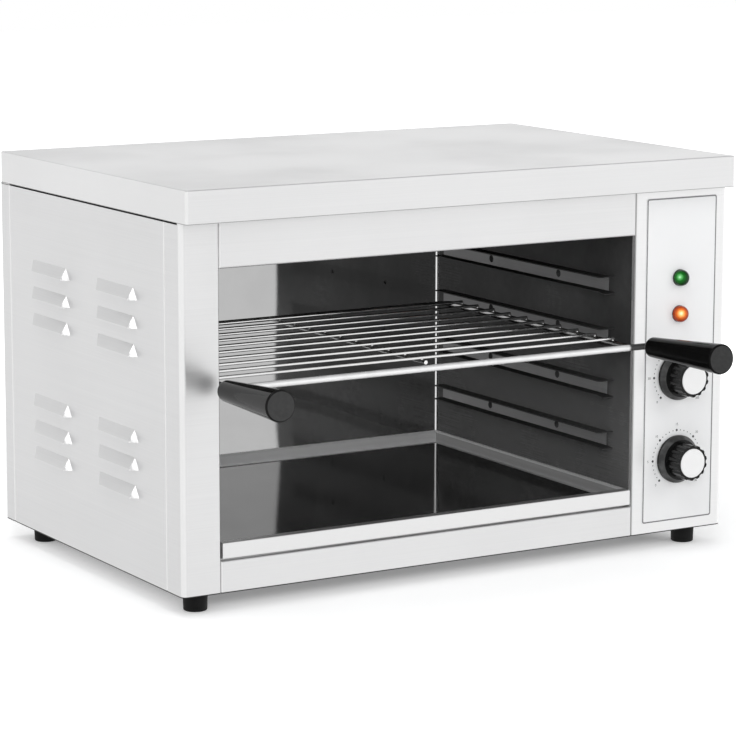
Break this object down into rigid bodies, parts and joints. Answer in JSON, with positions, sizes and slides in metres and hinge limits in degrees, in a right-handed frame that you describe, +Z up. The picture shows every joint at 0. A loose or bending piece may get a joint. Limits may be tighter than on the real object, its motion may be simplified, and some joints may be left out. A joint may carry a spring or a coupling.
{
  "type": "salamander grill",
  "caption": "Countertop grill with an open stainless chamber, heating elements under its roof, a sliding wire rack with grips, a drip tray and a control panel with knobs and lamps.",
  "frame": {"origin": "on the table, under the middle of the overall box", "axes": "+X to the right as the user faces the open front, +Y to the back, +Z up"},
  "size_m": [0.487, 0.4169, 0.3065],
  "materials": {
    "casing_steel": "fine brushed stainless sheet",
    "pan_steel": "plain stainless sheet",
    "chamber_steel": "mirror-bright stainless sheet, heat-dulled",
    "runner_steel": "folded stainless channel, heat-dulled",
    "tray_steel": "mirror-bright stainless sheet",
    "wire_steel": "bright plated wire",
    "grip_black": "glossy black heat-proof plastic",
    "knob_black": "satin black plastic",
    "knob_silver": "bright spun aluminium disc",
    "label_film": "pale printed film",
    "lens_green": "clear green plastic lens",
    "lens_amber": "clear amber plastic lens",
    "lamp_black": "dark plastic lamp holder",
    "foot_rubber": "black moulded rubber",
    "screw_steel": "bright plated steel",
    "element_steel": "heat-darkened stainless tube",
    "bush_ceramic": "unglazed white ceramic",
    "switch_plastic": "cream moulded plastic",
    "bulb_copper": "drawn copper tube",
    "gland_black": "black nylon",
    "wire_sleeve": "woven heat-proof sleeve"
  },
  "bodies": {
    "casing": {"top_cover": "casing_steel", "left_side_panel": "casing_steel", "right_side_panel": "casing_steel", "left_front_post": "casing_steel", "control_panel": "casing_steel", "front_fascia": "casing_steel", "lower_front_panel": "casing_steel", "back_panel": "casing_steel", "base_pan": "pan_steel", "chamber_back_wall": "chamber_steel", "chamber_left_wall": "chamber_steel", "chamber_right_wall": "chamber_steel", "chamber_ceiling": "chamber_steel", "chamber_floor": "chamber_steel", "left_runner_1": "runner_steel", "left_runner_2": "runner_steel", "left_runner_3": "runner_steel", "left_runner_4": "runner_steel", "right_runner_1": "runner_steel", "right_runner_2": "runner_steel", "right_runner_3": "runner_steel", "right_runner_4": "runner_steel", "runner_rivets": "runner_steel", "control_label": "label_film", "green_lamp_lens": "lens_green", "amber_lamp_lens": "lens_amber", "green_lamp_body": "lamp_black", "amber_lamp_body": "lamp_black", "front_left_foot": "foot_rubber", "front_right_foot": "foot_rubber", "rear_left_foot": "foot_rubber", "rear_right_foot": "foot_rubber", "foot_screws": "screw_steel", "casing_screws": "screw_steel", "control_nuts": "screw_steel", "heating_element_front": "element_steel", "heating_element_rear": "element_steel", "element_hangers": "element_steel", "element_bushes": "bush_ceramic", "timer_body": "switch_plastic", "thermostat_body": "switch_plastic", "terminal_block": "switch_plastic", "thermostat_bulb": "bulb_copper", "bulb_clips": "bulb_copper", "cable_gland": "gland_black", "cable_gland_nut": "gland_black", "inner_wires": "wire_sleeve"},
    "tray": {"drip_tray": "tray_steel"},
    "rack": {"rack_front_bar": "wire_steel", "rack_side_frame": "wire_steel", "rack_cross_wires": "wire_steel", "rack_support_wire": "wire_steel", "rack_left_grip": "grip_black", "rack_right_grip": "grip_black"},
    "timer_knob": {"timer_knob": "knob_black", "timer_knob_cap": "knob_silver", "timer_shaft": "screw_steel"},
    "thermostat_knob": {"thermostat_knob": "knob_black", "thermostat_knob_cap": "knob_silver", "thermostat_shaft": "screw_steel"}
  },
  "joints": [
    {"name": "rack_slide", "type": "slide", "parent": "casing", "child": "rack", "axis": [0, -1, 0], "range_m": [0, 0.2]},
    {"name": "tray_slide", "type": "slide", "parent": "casing", "child": "tray", "axis": [0, -1, 0], "range_m": [0, 0.22]},
    {"name": "thermostat_knob_turn", "type": "hinge", "parent": "casing", "child": "thermostat_knob", "pos_m": [0.19305, -0.10746, 0.1374], "axis": [0, 1, 0], "range_deg": [0, 280]},
    {"name": "timer_knob_turn", "type": "hinge", "parent": "casing", "child": "timer_knob", "pos_m": [0.19305, -0.10746, 0.0721], "axis": [0, 1, 0], "range_deg": [0, 300]}
  ]
}
